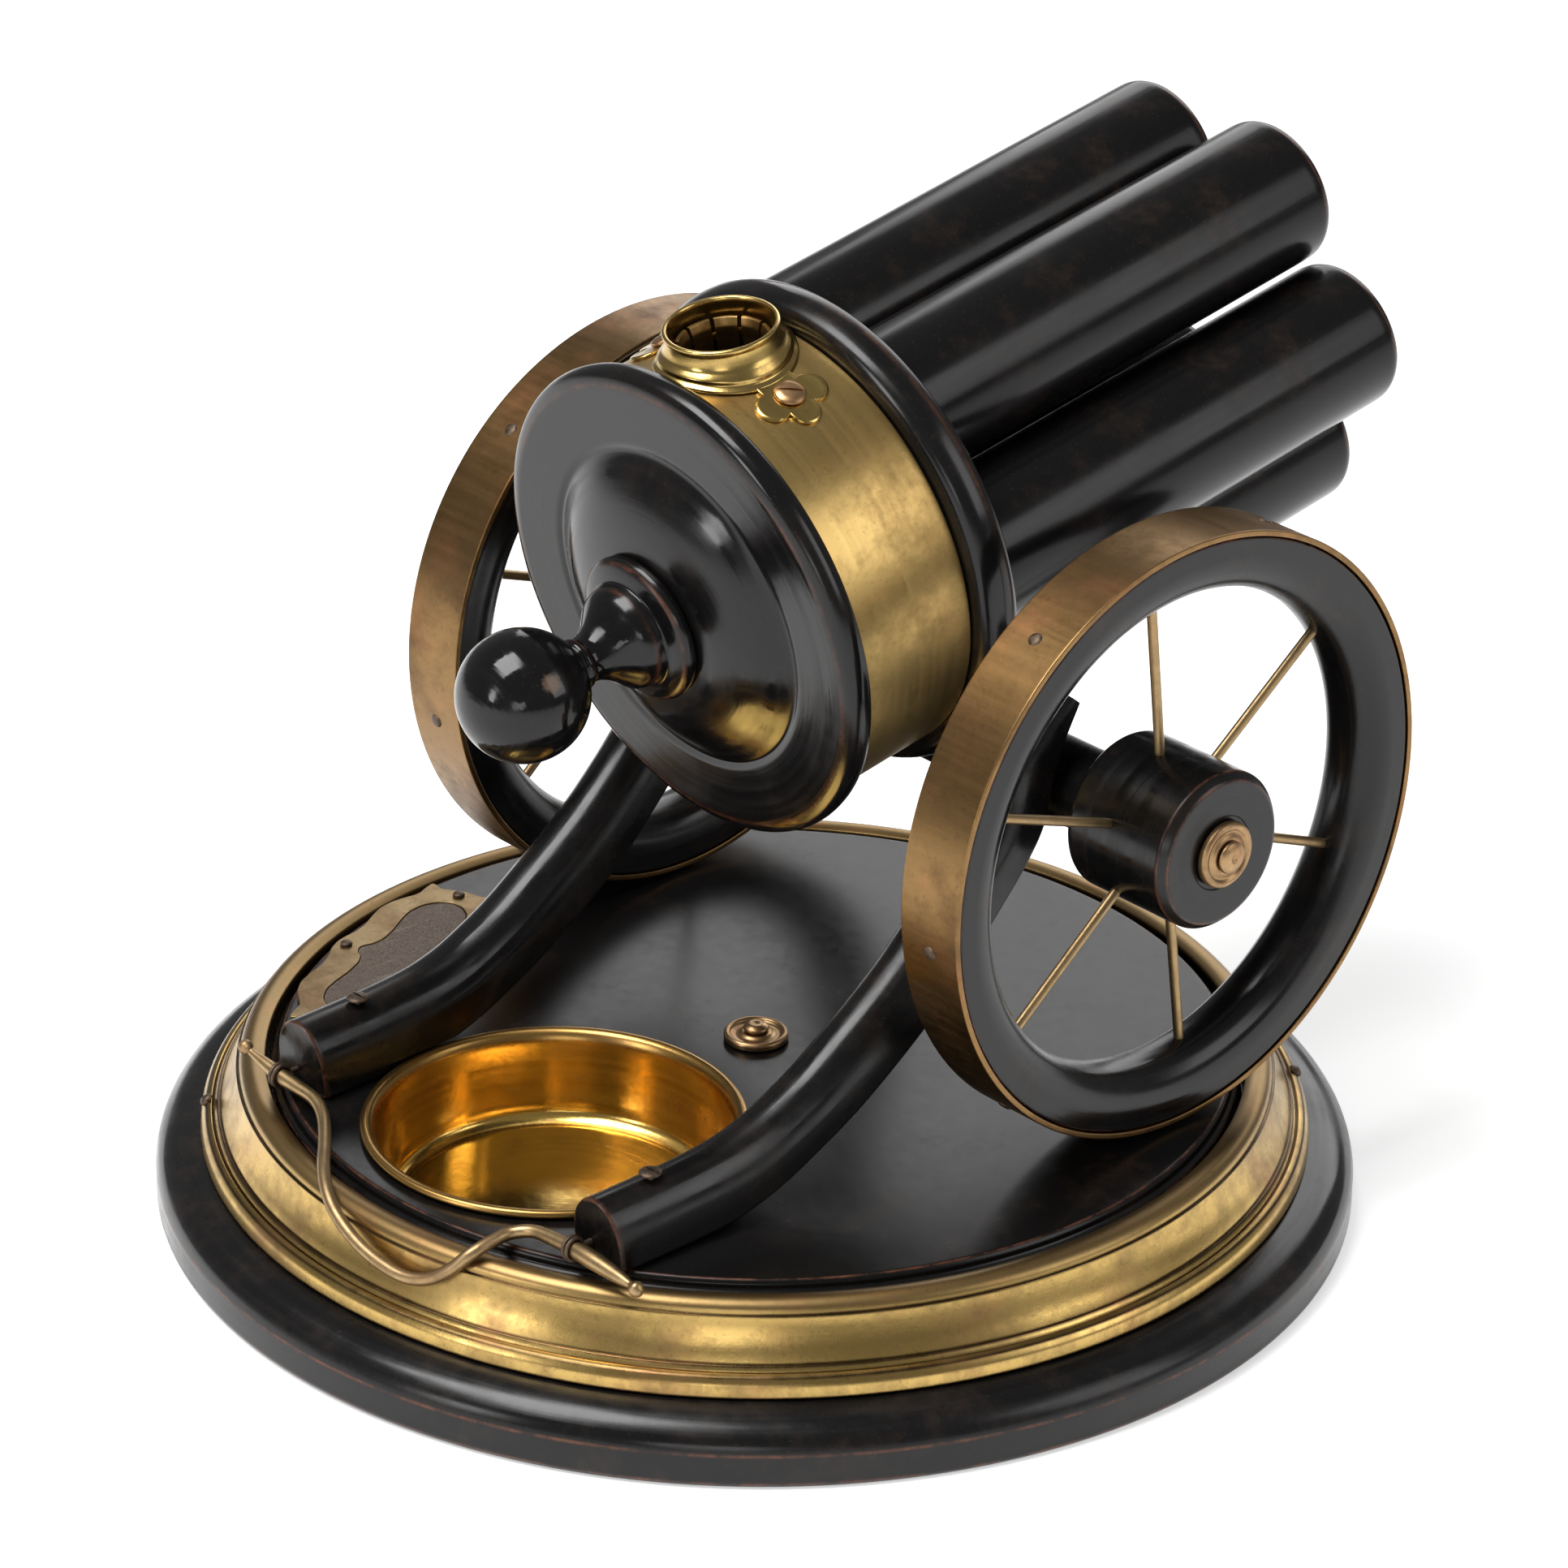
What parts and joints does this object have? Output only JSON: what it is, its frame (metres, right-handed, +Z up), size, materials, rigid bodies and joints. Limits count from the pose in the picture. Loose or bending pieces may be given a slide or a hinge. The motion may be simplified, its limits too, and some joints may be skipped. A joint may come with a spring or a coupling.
{
  "type": "field gun cigar stand",
  "caption": "Turned-wood and brass desk cigar stand shaped as a wheeled multi-barrel field gun on a round turntable base with an ash cup and match striker.",
  "frame": {"origin": "centre of the base's flat underside", "axes": "+X toward the right wheel, +Y toward the muzzles, +Z up"},
  "size_m": [0.24, 0.2554, 0.2],
  "materials": {
    "ebonised_wood": "near-black ebonised and polished, worn to red-brown on the edges",
    "aged_brass": "polished brass with light tarnish",
    "dull_brass": "brown-patinated sheet brass",
    "coppery_brass": "reddish worn brass",
    "striker_grit": "matt grey-brown abrasive composition",
    "dark_iron": "darkened iron pins and wire"
  },
  "bodies": {
    "base": {"plinth": "ebonised_wood", "brass_moulding": "aged_brass", "moulding_pin_1": "dark_iron", "moulding_pin_2": "dark_iron", "pivot_bolt": "coppery_brass", "centre_rosette": "coppery_brass"},
    "turntable": {"top_disc": "ebonised_wood", "ash_cup": "aged_brass", "striker_frame": "dull_brass", "striker_pad": "striker_grit", "striker_pin_1": "dark_iron", "striker_pin_2": "dark_iron", "striker_pin_3": "dark_iron", "striker_pin_4": "dark_iron", "axle_tree": "ebonised_wood", "trail_bar": "aged_brass", "trail_arm_left": "ebonised_wood", "trail_screw_left": "dark_iron", "bar_tie_left": "dark_iron", "axle_spindle_left": "coppery_brass", "hub_washer_left": "coppery_brass", "collar_screw_left": "coppery_brass", "trail_arm_right": "ebonised_wood", "trail_screw_right": "dark_iron", "bar_tie_right": "dark_iron", "axle_spindle_right": "coppery_brass", "hub_washer_right": "coppery_brass", "collar_screw_right": "coppery_brass", "drum_band": "aged_brass", "drum_wall": "ebonised_wood", "front_flange": "ebonised_wood", "barrel_1": "ebonised_wood", "barrel_2": "ebonised_wood", "barrel_3": "ebonised_wood", "barrel_4": "ebonised_wood", "barrel_5": "ebonised_wood", "barrel_6": "ebonised_wood", "collar": "aged_brass", "finger_socket": "aged_brass", "drum_screw": "dark_iron"},
    "lid": {"rear_cover": "ebonised_wood", "knob": "ebonised_wood"},
    "wheel_left": {"rim_left": "ebonised_wood", "tyre_left": "dull_brass", "hub_left": "ebonised_wood", "spoke_left_1": "aged_brass", "spoke_left_2": "aged_brass", "spoke_left_3": "aged_brass", "spoke_left_4": "aged_brass", "spoke_left_5": "aged_brass", "spoke_left_6": "aged_brass"},
    "wheel_right": {"rim_right": "ebonised_wood", "tyre_right": "dull_brass", "hub_right": "ebonised_wood", "spoke_right_1": "aged_brass", "spoke_right_2": "aged_brass", "spoke_right_3": "aged_brass", "spoke_right_4": "aged_brass", "spoke_right_5": "aged_brass", "spoke_right_6": "aged_brass"}
  },
  "joints": [
    {"name": "turntable_spin", "type": "hinge", "parent": "base", "child": "turntable", "pos_m": [0, 0, 0.03], "axis": [0, 0, 1], "continuous": true},
    {"name": "wheel_left_spin", "type": "hinge", "parent": "turntable", "child": "wheel_left", "pos_m": [-0.073, 0.0384, 0.0923], "axis": [1, 0, 0], "continuous": true},
    {"name": "wheel_right_spin", "type": "hinge", "parent": "turntable", "child": "wheel_right", "pos_m": [0.073, 0.0384, 0.0923], "axis": [1, 0, 0], "continuous": true},
    {"name": "lid_slide", "type": "slide", "parent": "turntable", "child": "lid", "axis": [0, -0.9831, -0.1832], "range_m": [0, 0.03]}
  ]
}
